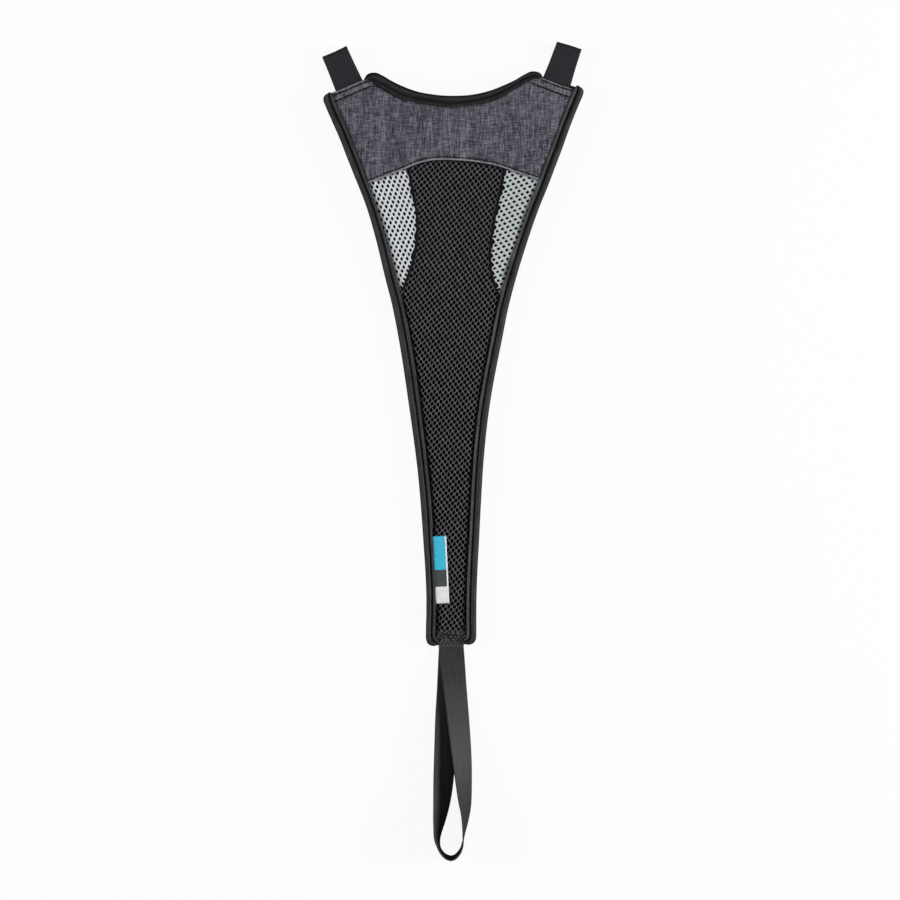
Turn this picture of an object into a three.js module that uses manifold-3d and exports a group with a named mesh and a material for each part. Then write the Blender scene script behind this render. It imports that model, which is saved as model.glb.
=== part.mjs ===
// A sweat guard for a bicycle that stands on an indoor trainer: a padded bib that catches sweat between the
// handlebar and the seat post. Two straps on its ears close round the handlebar and a webbing loop holds it
// to the seat post. Millimetres, +Z up: the bib lies on its back, front face up, with its ears towards +Y.
import * as THREE from "three";
import { mergeVertices } from "three/addons/utils/BufferGeometryUtils.js";
import Module from "manifold-3d";

const wasm = await Module();
wasm.setup();

// Outline of the bib's right half, from the sewn end at the seat post. Each side station is measured from the
// one below it, and each neck station from the ear's inner corner.
const seatEndY = -156;
const seatHalfWidth = 19.8;
const seatCornerRadius = 8;
const stationRise = 72;
const closeRise = stationRise / 2;
const sideStations = [
  { out: 0, rise: 40 },
  { out: 1.7, rise: closeRise },
  { out: 5.1, rise: stationRise },
  { out: 9.9, rise: stationRise },
  { out: 15, rise: stationRise },
  { out: 22.3, rise: stationRise },
  { out: 14.2, rise: closeRise },
  { out: 15.1, rise: 37.5 },
];
const earCorner = { out: 2.1, rise: 5.5 }; // where the long edge and the ear's top edge would meet
const earCornerRadius = 5.5;
const earTop = { width: 33.8, rise: 10.4 }; // from the outer corner to the inner one
const neckStations = [
  { inward: 0, rise: 0 },
  { inward: 2.8, rise: 4 },
  { inward: 8.9, rise: 5.2 },
  { inward: 14.9, rise: 2.8 },
  { inward: 25.4, rise: -3.2 },
  { inward: 42.4, rise: -10.2 },
  { inward: 57.6, rise: -13.6 },
];
const neckDrop = 14.4; // from the ear's inner corner down to the middle of the neckline

// Layers from the back to the front
const layerGap = 0.3;
const tapeThickness = 0.8; // one ply of the folded binding tape
const liningThickness = 0.8;
const waddingThickness = 2.3;
const meshThickness = 2;
const labelThickness = 0.5;

// Bindings
const sideBindingWidth = 9;
const neckBindingWidth = 7.5;
const bindingEdgeRound = 1.8;

// Yoke hem: an arch over the mesh, its height in the middle measured from the neckline
const yokeDepth = 50;
const hemRadius = 144;

// Inset meshes: the curved edge of each one against the centre mesh, measured down from the hem's middle
const leftInsetEdge = [
  { x: -36.2, down: -5 },
  { x: -31.4, down: 24.5 },
  { x: -27.4, down: 50 },
  { x: -29, down: 75 },
  { x: -39.6, down: 106 },
  { x: -50, down: 130 },
];
const rightInsetEdge = [
  { x: 45.6, down: -5 },
  { x: 38.6, down: 31 },
  { x: 33, down: 63 },
  { x: 32.6, down: 86 },
  { x: 38.8, down: 108 },
  { x: 49, down: 135 },
];

// Vents that stand for the open knit: the rim is from a vent's middle to its panel's nearest edge
const centreVents = { width: 4.8, length: 7, across: 12, along: 11, rim: 5.6 };
const insetVents = { width: 3.6, length: 5.2, across: 8.6, along: 6.2, rim: 4 };
const foldedEdge = 3.2; // plain strip of centre mesh beside each inset

// Handlebar straps: elastic webbing, folded over above the ear and closed behind it
const strapWidth = 20.8;
const strapThickness = 1.2;
const strapSewnIn = 9;
const strapStandsOut = 29.3;
const strapReturn = 55; // from the ear's top edge down to the strap's free end
const leftStrap = { lean: 22.6, fromNeck: 1.4 };
const rightStrap = { lean: 19.9, fromNeck: 3.4 };
const patchThickness = 0.9;
const patchSideMargin = 1.4;
const patchEndMargin = 3;
const hookPatchLength = 30;
const loopPatchLength = 40;

// The ears lie on the folded straps, and the bib comes down to the table behind them
const liftRun = 116;
const liftMargin = 2;
const liftSteps = 5;

// Seat post loop: one webbing band, both ends sewn in the seat end, turned on edge at its far end.
// Each station is its place across, its distance beyond the seam and its turn from flat in degrees.
const loopWidth = 20;
const loopThickness = 1;
const loopSewnIn = 10;
const upperPlySettles = 62; // how far out the upper ply comes down to the table
const lowerPlySettles = 16;
const loopStations = [
  [-0.6, -loopSewnIn, 0],
  [-0.6, 2, 0],
  [1.6, 31, 17],
  [5, 60, 29],
  [7.9, 91, 42],
  [9.8, 116, 57],
  [10.7, 132, 73],
  [9.8, 149, 88],
  [7.2, 159.5, 90],
  [3.9, 165.2, 90],
  [-0.4, 167.8, 90],
  [-4.9, 165.4, 90],
  [-8.8, 160, 90],
  [-11.4, 151, 82],
  [-10.4, 140, 69],
  [-8.4, 127, 57],
  [-6.8, 106, 45],
  [-6.2, 85, 37],
  [-4.4, 59, 28],
  [-2.5, 31, 17],
  [-0.6, 2, 0],
  [-0.6, -loopSewnIn, 0],
];
const stepsPerStation = 4;

// Woven label, its edge tucked under the left binding
const labelWidth = 10.6;
const labelLength = 54;
const labelUp = 60.2;
const labelTuck = 2;
const labelLean = 2.4;

const surfaces = {
  lining: new THREE.MeshStandardMaterial({ color: 0x232427, roughness: 0.75 }),
  wadding: new THREE.MeshStandardMaterial({ color: 0x101012, roughness: 1 }),
  blackMesh: new THREE.MeshStandardMaterial({ color: 0x3c3c40, roughness: 0.9 }),
  greyMesh: new THREE.MeshStandardMaterial({ color: 0xc0c8c8, roughness: 0.9 }),
  heather: new THREE.MeshStandardMaterial({ color: 0x4a4853, roughness: 0.95 }),
  tape: new THREE.MeshStandardMaterial({ color: 0x2a2a2c, roughness: 0.8 }),
  webbing: new THREE.MeshStandardMaterial({ color: 0x2c2c30, roughness: 0.7 }),
  patch: new THREE.MeshStandardMaterial({ color: 0x1c1c1e, roughness: 0.6 }),
  label: new THREE.MeshStandardMaterial({ color: 0x3fb0d3, roughness: 0.8 }),
};

// Heights of each layer above the bib's back. The wadding's room also takes the webbing's sewn ends.
const sewnRoom = Math.max(waddingThickness, strapThickness, 2 * loopThickness + layerGap);
const roomBottom = Math.max(liningThickness, tapeThickness) + layerGap;
const roomTop = roomBottom + sewnRoom;
const meshBottom = roomTop + layerGap;
const meshTop = meshBottom + meshThickness;
const foldBottom = meshTop + layerGap;
const bindingTop = foldBottom + tapeThickness;
const insideFold = tapeThickness + layerGap;
const hookBottom = strapThickness + layerGap;
const loopPatchBottom = hookBottom + patchThickness + layerGap;
const earLift = loopPatchBottom + patchThickness + layerGap;

// Solids and booleans
function toSolid(geometry) {
  const shape = geometry.clone();
  shape.deleteAttribute("normal");
  shape.deleteAttribute("uv");
  const welded = mergeVertices(shape, 1e-4);
  return new wasm.Manifold(
    new wasm.Mesh({
      numProp: 3,
      vertProperties: new Float32Array(welded.attributes.position.array),
      triVerts: new Uint32Array(welded.index.array),
    }),
  );
}

function toMesh(name, solid, material) {
  const made = solid.getMesh();
  const geometry = new THREE.BufferGeometry();
  geometry.setAttribute("position", new THREE.BufferAttribute(new Float32Array(made.vertProperties), 3));
  geometry.setIndex(new THREE.BufferAttribute(new Uint32Array(made.triVerts), 1));
  geometry.computeVertexNormals();
  const mesh = new THREE.Mesh(geometry, material);
  mesh.name = name;
  return mesh;
}

/** A flat outline drawn in Y and Z, swept along X between two ends at the same distance from the middle. */
function sweptAcross(outline, halfWidth) {
  const shape = new THREE.Shape(outline);
  const geometry = new THREE.ExtrudeGeometry(shape, { depth: 2 * halfWidth, bevelEnabled: false });
  const turned = new THREE.Matrix4().makeBasis(
    new THREE.Vector3(0, 1, 0),
    new THREE.Vector3(0, 0, 1),
    new THREE.Vector3(1, 0, 0),
  );
  return toSolid(geometry.translate(0, 0, -halfWidth).applyMatrix4(turned));
}

// Lines in the plane
const point = (x, y) => new THREE.Vector2(x, y);
const mirrored = (line) => line.map((p) => point(-p.x, p.y)).reverse();

function straight(a, b, steps) {
  return Array.from({ length: steps + 1 }, (_, i) => a.clone().lerp(b, i / steps));
}

function distanceToSegment(p, a, b) {
  const along = b.clone().sub(a);
  const length = along.lengthSq();
  const share = length > 0 ? THREE.MathUtils.clamp(p.clone().sub(a).dot(along) / length, 0, 1) : 0;
  return p.distanceTo(a.clone().addScaledVector(along, share));
}

function distanceToLine(p, line) {
  let nearest = Infinity;
  for (let i = 1; i < line.length; i++) {
    nearest = Math.min(nearest, distanceToSegment(p, line[i - 1], line[i]));
  }
  return nearest;
}

/** The same line without the points that lie within the tolerance of a straight run. */
function simplified(line, tolerance = 0.1) {
  const first = line[0];
  const last = line[line.length - 1];
  const offs = line.map((p) => distanceToSegment(p, first, last));
  const worst = Math.max(...offs);
  if (worst <= tolerance) return [first, last];
  const at = offs.indexOf(worst);
  const before = simplified(line.slice(0, at + 1), tolerance);
  const after = simplified(line.slice(at), tolerance);
  return [...before, ...after.slice(1)];
}

/** A line moved to its left by a distance, in the direction in which it runs. */
function movedLeft(line, distance) {
  return line.map((p, i) => {
    const ahead = line[Math.min(i + 1, line.length - 1)];
    const behind = line[Math.max(i - 1, 0)];
    const run = ahead.clone().sub(behind).normalize();
    return point(p.x - run.y * distance, p.y + run.x * distance);
  });
}

function contains(outline, p) {
  let inside = false;
  outline.forEach((a, i) => {
    const b = outline[(i + 1) % outline.length];
    const straddles = a.y > p.y !== b.y > p.y;
    if (straddles && p.x < THREE.MathUtils.mapLinear(p.y, a.y, b.y, a.x, b.x)) inside = !inside;
  });
  return inside;
}

/** Where a line that runs down crosses a height, or the place of its nearer end. */
function xOnLine(line, y) {
  const i = line.findIndex((p) => p.y < y);
  return line[i < 0 ? line.length - 1 : i].x;
}

// The bib's outline as four kinds of edge, anticlockwise from the seat end
const seatCorner = point(seatHalfWidth, seatEndY);
const sidePoints = sideStations.map((_, i) => {
  const passed = sideStations.slice(0, i + 1);
  return passed.reduce((from, { out, rise }) => point(from.x + out, from.y + rise), seatCorner);
});
const sideTop = sidePoints[sidePoints.length - 1];
const outerCorner = point(sideTop.x + earCorner.out, sideTop.y + earCorner.rise);
const neckCorner = point(outerCorner.x - earTop.width, outerCorner.y + earTop.rise);
const neckMiddleY = neckCorner.y - neckDrop;

function rightSide() {
  const cornerTop = point(seatCorner.x, seatCorner.y + seatCornerRadius);
  const seat = new THREE.QuadraticBezierCurve(
    point(seatCorner.x - seatCornerRadius, seatCorner.y),
    seatCorner,
    cornerTop,
  );
  const long = new THREE.SplineCurve([cornerTop, ...sidePoints]);
  const alongEar = neckCorner.clone().sub(outerCorner).normalize();
  const ear = new THREE.QuadraticBezierCurve(
    sideTop,
    outerCorner,
    outerCorner.clone().addScaledVector(alongEar, earCornerRadius),
  );
  return [...seat.getPoints(10).slice(0, -1), ...long.getSpacedPoints(440).slice(0, -1), ...ear.getPoints(12)];
}

function neckline() {
  const half = neckStations.map(({ inward, rise }) => point(neckCorner.x - inward, neckCorner.y + rise));
  return new THREE.SplineCurve([...half, point(0, neckMiddleY), ...mirrored(half)]).getSpacedPoints(180);
}

const side = rightSide();
const neck = neckline();
const ear = straight(side[side.length - 1], neck[0], 30);
const seat = straight(point(-side[0].x, seatEndY), point(side[0].x, seatEndY), 24);
const edges = [
  { kind: "side", line: side },
  { kind: "ear", line: ear },
  { kind: "neck", line: neck },
  { kind: "ear", line: mirrored(ear) },
  { kind: "side", line: mirrored(side) },
  { kind: "seat", line: seat },
];

/** The bib's outline with each kind of edge drawn in by its own distance, or let out where it is negative. */
function drawnIn(distances) {
  const inward = { side: 0, ear: 0, neck: 0, seat: 0, ...distances };
  const tolerance = 0.02;
  const kept = edges.flatMap((edge) =>
    movedLeft(edge.line, inward[edge.kind]).filter((p) =>
      edges.every((other) => distanceToLine(p, other.line) > inward[other.kind] - tolerance),
    ),
  );
  return simplified([...kept, kept[0].clone()]).slice(0, -1);
}

// Prisms, and slabs that drape over the folded straps
const reach = 500; // past the bib on every side

function prism(outline, holes = []) {
  const shape = new THREE.Shape(outline);
  shape.holes = holes.map((hole) => new THREE.Path(hole));
  const depth = 4 * (bindingTop + earLift);
  const geometry = new THREE.ExtrudeGeometry(shape, { depth, bevelEnabled: false });
  return toSolid(geometry.translate(0, 0, -depth / 4));
}

const earMiddleY = (neckCorner.y + outerCorner.y) / 2;
const liftEndY = earMiddleY - Math.hypot(strapReturn, strapWidth / 2) - liftMargin;
const liftStations = Array.from({ length: liftSteps + 1 }, (_, i) => {
  const share = i / liftSteps;
  return point(liftEndY - (1 - share) * liftRun, earLift * THREE.MathUtils.smoothstep(share, 0, 1));
});

function liftAt(y) {
  const next = liftStations.findIndex((s) => s.x > y);
  if (next === 0) return 0;
  if (next < 0) return earLift;
  const a = liftStations[next - 1];
  const b = liftStations[next];
  return THREE.MathUtils.mapLinear(y, a.x, b.x, a.y, b.y);
}

/** A slab between two heights above the bib's back, which rises with the ears. */
function drapedSlab(bottom, top) {
  const run = [point(-reach, 0), ...liftStations, point(reach, earLift)];
  const lower = run.map((p) => point(p.x, p.y + bottom));
  const upper = run.map((p) => point(p.x, p.y + top)).reverse();
  return sweptAcross([...lower, ...upper], reach);
}

// Regions that divide the front
const hemMiddleY = neckMiddleY - yokeDepth;
const hemAt = (x) => hemMiddleY - x ** 2 / (2 * hemRadius);
const pastEars = outerCorner.x + 15;
const hemLine = straight(point(pastEars, 0), point(-pastEars, 0), 30).map((p) => point(p.x, hemAt(p.x)));

function belowHem(lower) {
  const arch = hemLine.map((p) => point(p.x, p.y - lower));
  return prism([...arch, point(-pastEars, -reach), point(pastEars, -reach)]);
}

function aboveHem() {
  return prism([...hemLine.slice().reverse(), point(pastEars, reach), point(-pastEars, reach)]);
}

function insetLine(stations) {
  const places = stations.map(({ x, down }) => point(x, hemMiddleY - down));
  return new THREE.SplineCurve(places).getSpacedPoints(60);
}

const insets = {
  left: { line: insetLine(leftInsetEdge), hand: -1 },
  right: { line: insetLine(rightInsetEdge), hand: 1 },
};

/** The ground from an inset's curved edge out past the bib's long edge, grown towards the middle. */
function insetRegion({ line, hand }, grown = 0) {
  const edge = simplified(movedLeft(line, -hand * grown));
  const outer = [point(hand * pastEars, edge[edge.length - 1].y), point(hand * pastEars, edge[0].y)];
  const outline = [...edge, ...outer];
  return prism(THREE.ShapeUtils.isClockWise(outline) ? outline.reverse() : outline);
}

// The open knit: long hexagonal vents on a staggered lattice
function vent(middle, { width, length }) {
  const half = [point(0, -length / 2), point(width / 2, -length / 5), point(width / 2, length / 5)];
  const turned = half.map((p) => point(-p.x, -p.y));
  return [...half, ...turned].map((p) => p.add(middle));
}

function vents(size, belongs) {
  const ground = drawnIn({ side: sideBindingWidth + size.rim, seat: loopSewnIn + size.length / 2 });
  const columns = Math.ceil(pastEars / size.across);
  const rows = Math.floor((hemMiddleY - seatEndY) / size.along);
  const found = [];
  for (let row = 1; row <= rows; row++) {
    for (let column = -columns; column <= columns; column++) {
      const p = point((column + (row % 2) / 2) * size.across, seatEndY + row * size.along);
      const clearOfHem = p.y < hemAt(p.x) && distanceToLine(p, hemLine) > size.rim;
      if (clearOfHem && contains(ground, p) && belongs(p)) found.push(vent(p, size));
    }
  }
  return found;
}

const beyondTip = (p, { line }) => p.y < line[line.length - 1].y;
const onInsetSide = (p, { line, hand }) => hand * (p.x - xOnLine(line, p.y)) > 0;

function inCentre(p) {
  const clear = foldedEdge + centreVents.rim;
  return Object.values(insets).every(
    (inset) => beyondTip(p, inset) || (!onInsetSide(p, inset) && distanceToLine(p, inset.line) > clear),
  );
}

function inInset(p, inset) {
  return !beyondTip(p, inset) && onInsetSide(p, inset) && distanceToLine(p, inset.line) > insetVents.rim;
}

// Front and back panels
const insideBindings = drawnIn({ side: insideFold, neck: insideFold });

function backLining() {
  const window = drawnIn({ side: sideBindingWidth + layerGap, neck: neckBindingWidth + layerGap });
  return drapedSlab(0, liningThickness).intersect(prism(window));
}

function absorbentCore() {
  const room = 2; // between the webbing's sewn ends and the wadding
  const outline = drawnIn({
    side: insideFold,
    neck: insideFold,
    ear: strapSewnIn + room,
    seat: loopSewnIn + room,
  });
  return drapedSlab(roomBottom, roomBottom + waddingThickness).intersect(prism(outline));
}

function frontPanel(region, holes = []) {
  return drapedSlab(meshBottom, meshTop).intersect(prism(insideBindings, holes)).intersect(region);
}

function centreMesh() {
  const region = belowHem(layerGap)
    .subtract(insetRegion(insets.left, layerGap))
    .subtract(insetRegion(insets.right, layerGap));
  return frontPanel(region, vents(centreVents, inCentre));
}

function insetMesh(inset) {
  const region = belowHem(layerGap).intersect(insetRegion(inset));
  return frontPanel(region, vents(insetVents, (p) => inInset(p, inset)));
}

// Bindings: one rounded ring of tape, folded over both faces and cut through at the ears and the seat end
function bindings() {
  const edgeRound = Math.min(bindingEdgeRound, bindingTop / 2 - tapeThickness / 2);
  const spare = 2; // left inside the tape's lips, and cut away with the window
  const strip = 2 * edgeRound + spare;
  const rim = new THREE.Shape(drawnIn({}));
  const hole = drawnIn({
    side: sideBindingWidth + spare,
    neck: neckBindingWidth + spare,
    ear: strip,
    seat: strip,
  });
  rim.holes = [new THREE.Path(hole)];
  const ring = new THREE.ExtrudeGeometry(rim, {
    depth: bindingTop - 2 * edgeRound,
    bevelThickness: edgeRound,
    bevelSize: edgeRound,
    bevelOffset: -edgeRound,
    bevelSegments: 2,
  });
  ring.translate(0, 0, edgeRound);
  const places = ring.attributes.position;
  for (let i = 0; i < places.count; i++) {
    places.setZ(i, places.getZ(i) + liftAt(places.getY(i)));
  }
  const past = 3; // how far the cuts run past the open ends
  const window = drawnIn({ side: sideBindingWidth, neck: neckBindingWidth, ear: -past, seat: -past });
  const inside = drawnIn({ side: tapeThickness, neck: tapeThickness, ear: -past, seat: -past });
  const pieces = toSolid(ring)
    .subtract(prism(window))
    .subtract(drapedSlab(tapeThickness, foldBottom).intersect(prism(inside)))
    .decompose();
  const middleX = (piece) => piece.boundingBox().min[0] + piece.boundingBox().max[0];
  const [left, neckPiece, right] = pieces.sort((a, b) => middleX(a) - middleX(b));
  return { left, neckPiece, right };
}

// Handlebar straps, each in a frame of its own: +Y runs up the strap from the ear's top edge
function strap() {
  const sewnZ = earLift + roomTop - strapThickness / 2;
  const restZ = strapThickness / 2;
  const foldRadius = (sewnZ - restZ) / 2;
  const foldStart = strapStandsOut - strapThickness / 2 - foldRadius;
  const run = new THREE.Path();
  run.moveTo(-strapSewnIn, sewnZ);
  run.lineTo(foldStart, sewnZ);
  run.absarc(foldStart, sewnZ - foldRadius, foldRadius, Math.PI / 2, -Math.PI / 2, true);
  run.lineTo(-strapReturn, restZ);
  const middle = run.getPoints(8);
  const outer = movedLeft(middle, strapThickness / 2);
  const inner = movedLeft(middle, -strapThickness / 2);
  return sweptAcross([...outer, ...inner.reverse()].reverse(), strapWidth / 2);
}

function patch(length, bottom) {
  const width = strapWidth - 2 * patchSideMargin;
  const geometry = new THREE.BoxGeometry(width, length, patchThickness);
  const middleY = -strapReturn + patchEndMargin + length / 2;
  return toSolid(geometry.translate(0, middleY, bottom + patchThickness / 2));
}

function handlebarStrap(name, { lean, fromNeck }, hand) {
  const turn = THREE.MathUtils.degToRad(lean);
  const x = neckCorner.x + fromNeck + (strapWidth / 2) * Math.cos(turn);
  const y = THREE.MathUtils.mapLinear(x, neckCorner.x, outerCorner.x, neckCorner.y, outerCorner.y);
  const group = new THREE.Group();
  group.position.set(hand * x, y, 0);
  group.rotation.z = -hand * turn;
  group.add(
    toMesh(`handlebar_strap_${name}`, strap(), surfaces.webbing),
    toMesh(`hook_patch_${name}`, patch(hookPatchLength, hookBottom), surfaces.patch),
    toMesh(`loop_patch_${name}`, patch(loopPatchLength, loopPatchBottom), surfaces.patch),
  );
  return group;
}

// Seat post loop: a flat band carried along its stations, always with one edge down on the table
function seatpostLoop() {
  const stations = loopStations.map(([x, out, turn]) => new THREE.Vector3(x, seatEndY - out, turn));
  const steps = stepsPerStation * (stations.length - 1);
  const route = new THREE.CatmullRomCurve3(stations).getPoints(steps);
  const sections = route.map((place, i) => {
    const ahead = route[Math.min(i + 1, steps)];
    const behind = route[Math.max(i - 1, 0)];
    const run = new THREE.Vector3(ahead.x - behind.x, ahead.y - behind.y, 0).normalize();
    const turn = THREE.MathUtils.degToRad(THREE.MathUtils.clamp(place.z, 0, 90));
    const across = new THREE.Vector3(-Math.cos(turn), 0, Math.sin(turn));
    across.addScaledVector(run, -across.dot(run)).normalize();
    const through = new THREE.Vector3().crossVectors(run, across);
    const isUpper = i < steps / 2;
    const settles = isUpper ? upperPlySettles : lowerPlySettles;
    const sewnHeight = isUpper ? roomTop - loopThickness : roomBottom;
    const share = THREE.MathUtils.clamp(1 - (seatEndY - place.y) / settles, 0, 1);
    const onEdge = (loopWidth * across.z + loopThickness * Math.abs(through.z)) / 2;
    return { middle: new THREE.Vector3(place.x, place.y, onEdge + sewnHeight * share), across, through };
  });
  const band = new THREE.BoxGeometry(loopWidth, loopThickness, steps, 1, 1, steps);
  const places = band.attributes.position;
  for (let i = 0; i < places.count; i++) {
    const { middle, across, through } = sections[Math.round(places.getZ(i) + steps / 2)];
    const at = middle.clone();
    at.addScaledVector(across, places.getX(i)).addScaledVector(through, places.getY(i));
    places.setXYZ(i, at.x, at.y, at.z);
  }
  return toSolid(band);
}

function wovenLabel() {
  const y = seatEndY + labelUp;
  const lip = side.find((p) => p.y >= y).x - sideBindingWidth;
  const outline = new THREE.BoxGeometry(labelWidth, labelLength, reach);
  outline.rotateZ(THREE.MathUtils.degToRad(labelLean));
  outline.translate(-lip - labelTuck + labelWidth / 2, y, 0);
  return drapedSlab(foldBottom, foldBottom + labelThickness)
    .intersect(toSolid(outline))
    .intersect(prism(drawnIn({ side: sideBindingWidth + layerGap })));
}

const tape = bindings();
const sweatGuard = new THREE.Group();
sweatGuard.add(
  toMesh("back_lining", backLining(), surfaces.lining),
  toMesh("absorbent_core", absorbentCore(), surfaces.wadding),
  toMesh("centre_mesh", centreMesh(), surfaces.blackMesh),
  toMesh("inset_mesh_left", insetMesh(insets.left), surfaces.greyMesh),
  toMesh("inset_mesh_right", insetMesh(insets.right), surfaces.greyMesh),
  toMesh("yoke_panel", frontPanel(aboveHem()), surfaces.heather),
  toMesh("binding_left", tape.left, surfaces.tape),
  toMesh("binding_neck", tape.neckPiece, surfaces.tape),
  toMesh("binding_right", tape.right, surfaces.tape),
  handlebarStrap("left", leftStrap, -1),
  handlebarStrap("right", rightStrap, 1),
  toMesh("seatpost_loop", seatpostLoop(), surfaces.webbing),
  toMesh("woven_label", wovenLabel(), surfaces.label),
);

export default sweatGuard;
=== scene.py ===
# %% [markdown]
# # A sweat guard for a bicycle on an indoor trainer
# The guard is a padded bib that lies under the rider from the handlebar to the seat post. It is sewn from
# cloth: a heather yoke, panels of open knit, folded tape round the edges, and webbing to hold it up. Every
# piece is made here in millimetres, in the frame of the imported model, and is turned into metres at the end.

# %% Load the fixed frame
import math
import random
from bisect import bisect_right

import bmesh
import bpy
from mathutils import Matrix, Vector, noise
from mathutils.bvhtree import BVHTree


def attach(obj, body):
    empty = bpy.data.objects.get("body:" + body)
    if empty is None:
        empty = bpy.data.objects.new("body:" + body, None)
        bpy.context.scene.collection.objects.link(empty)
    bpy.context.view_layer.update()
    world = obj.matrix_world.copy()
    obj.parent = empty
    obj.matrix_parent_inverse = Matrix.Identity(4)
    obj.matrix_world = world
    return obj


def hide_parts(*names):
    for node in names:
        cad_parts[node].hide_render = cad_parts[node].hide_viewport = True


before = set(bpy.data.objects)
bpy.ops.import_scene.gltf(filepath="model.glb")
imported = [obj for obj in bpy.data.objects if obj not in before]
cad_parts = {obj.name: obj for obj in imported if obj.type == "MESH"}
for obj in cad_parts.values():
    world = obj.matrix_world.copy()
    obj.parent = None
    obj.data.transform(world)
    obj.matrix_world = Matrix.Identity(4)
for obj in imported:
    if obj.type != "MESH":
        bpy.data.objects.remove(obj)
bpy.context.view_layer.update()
mm = 0.001

# %% [markdown]
# ## The bib's outline
# A pattern cutter draws half of a bib and folds the paper. In the same way the right half is given here as
# a few places, and a smooth curve joins them. The left half is its mirror image.

# %% Smooth lines and even spacing
def smooth_line(places, steps=12):
    """The places joined by a smooth curve, with so many steps from each one to the next."""
    points = [Vector(place) for place in places]
    points = [points[0], *points, points[-1]]
    line = []
    for a, b, c, d in zip(points, points[1:], points[2:], points[3:]):
        leave = (c - a) / 2
        arrive = (d - b) / 2
        for step in range(steps):
            t = step / steps
            bend = 3 * (c - b) - 2 * leave - arrive
            twist = 2 * (b - c) + leave + arrive
            line.append(b + leave * t + bend * t**2 + twist * t**3)
    return [*line, points[-1]]


def distances(line):
    """How far along a line each of its points is."""
    along = [0.0]
    for a, b in zip(line, line[1:]):
        along.append(along[-1] + (b - a).length)
    return along


def even_line(line, spacing):
    """The same line with its points about so far apart."""
    along = distances(line)
    count = max(2, round(along[-1] / spacing))
    points = []
    piece = 0
    for step in range(count + 1):
        wanted = along[-1] * step / count
        while piece < len(line) - 2 and along[piece + 1] < wanted:
            piece += 1
        share = (wanted - along[piece]) / max(along[piece + 1] - along[piece], 1e-9)
        points.append(line[piece].lerp(line[piece + 1], min(share, 1)))
    return points


def rounded(before, corner, after, steps=12):
    """A rounded corner that leaves one place and arrives at another."""
    a, b, c = Vector(before), Vector(corner), Vector(after)
    return [a.lerp(b, i / steps).lerp(b.lerp(c, i / steps), i / steps) for i in range(steps + 1)]


def mirrored(line):
    return [Vector((-point.x, point.y)) for point in line]


def left_of(line, i):
    """The direction to the left of a line at one of its points."""
    run = (line[min(i + 1, len(line) - 1)] - line[max(i - 1, 0)]).normalized()
    return Vector((-run.y, run.x))


def fade(value, start, end):
    """Rises smoothly from 0 at start to 1 at end."""
    t = min(max((value - start) / (end - start), 0), 1)
    return t * t * (3 - 2 * t)


def reading(line):
    """Turns a line that runs towards +X into a function from x to y, level beyond its ends."""
    places = [point[0] for point in line]
    values = [point[1] for point in line]

    def read(place):
        i = min(max(bisect_right(places, place), 1), len(places) - 1)
        share = (place - places[i - 1]) / max(places[i] - places[i - 1], 1e-9)
        return values[i - 1] + (values[i] - values[i - 1]) * min(max(share, 0), 1)
    return read


# %% The right half of the outline
seat_end = -156
seat_corner = rounded((12.4, seat_end), (20.0, seat_end - 0.4), (19.8, seat_end + 8))
long_edge = smooth_line([
    (19.8, seat_end + 8), (19.8, -116), (21.5, -80), (26.6, -8), (36.5, 64),
    (51.5, 136), (73.8, 208), (88, 244), (103.1, 281.5),
], steps=40)
ear_outer = Vector((105.2, 287))
ear_inner = Vector((71.4, 297.4))
ear_fall = (ear_inner.y - ear_outer.y) / (ear_outer.x - ear_inner.x)
ear_corner = rounded(long_edge[-1], ear_outer, ear_outer.lerp(ear_inner, 0.155))
half_neck = smooth_line([
    ear_inner, (68.6, 301.4), (62.5, 302.6), (56.5, 300.2), (46, 294.2), (29, 287.2),
    (13.8, 283.8), (0, 283),
])
neck_edge = [*mirrored(half_neck), *half_neck[-2::-1]]
hem = smooth_line([
    (-90, 203.8), (-66.9, 212.9), (-51.8, 218.9), (-38.8, 223.8), (-26.0, 229.0), (-13.2, 231.4),
    (3.6, 231.1), (19.6, 229.6), (35.4, 226.5), (49.2, 221.6), (67.2, 215.5), (90, 206.9),
])
print("The long edge is", round(distances(long_edge)[-1]), "mm long")

# %% Readings of the outline
# The half width goes from the middle to the long edge, and above the ear's corner the edge runs straight on
beyond_ear = long_edge[-1].lerp(ear_outer, 4)
half_width = reading([(point.y, point.x) for point in [*long_edge, beyond_ear]])
neckline = reading(neck_edge)
hem_edge = reading(hem)


def ear_line(x):
    """The straight top edge of an ear, and its continuation inwards."""
    return ear_inner.y - (abs(x) - ear_inner.x) * ear_fall


def top_edge(x):
    """The neckline, and the ears' top edges beside it."""
    return ear_line(x) if abs(x) > ear_inner.x else neckline(x)


# %% Where the tape's lips run
# The side tapes' widths are given by height, and the neck tape's lip as a line across the bib
left_tape_width = reading(smooth_line([
    (-150, 7.2), (-120, 7.4), (-72, 7.6), (-54, 8.3), (-8, 8.1), (56, 9.1), (120, 8.7), (184, 7.7),
    (232, 8.2),
]))
right_tape_width = reading(smooth_line([
    (-150, 7.4), (-120, 7.7), (-56, 7.8), (-8, 8.0), (56, 8.3), (120, 8.3), (184, 7.9), (232, 8.1),
]))
neck_lip = smooth_line([
    (-66.4, 296.4), (-62.2, 293.4), (-58.3, 290.6), (-50.3, 286.2), (-42.4, 281.8), (-34.4, 279.3),
    (-26.4, 277.3), (-10.5, 274.2), (-2.6, 273.8), (5.4, 274.2), (21.3, 276.8), (29.3, 279.0),
    (37.2, 282.2), (45.2, 287.2), (53.2, 291.9), (57.8, 294.5), (61.4, 296.0), (64.6, 297.0), (67.6, 297.0),
])
neck_lip_edge = reading(neck_lip)
neck_tape_reach = 66


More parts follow.
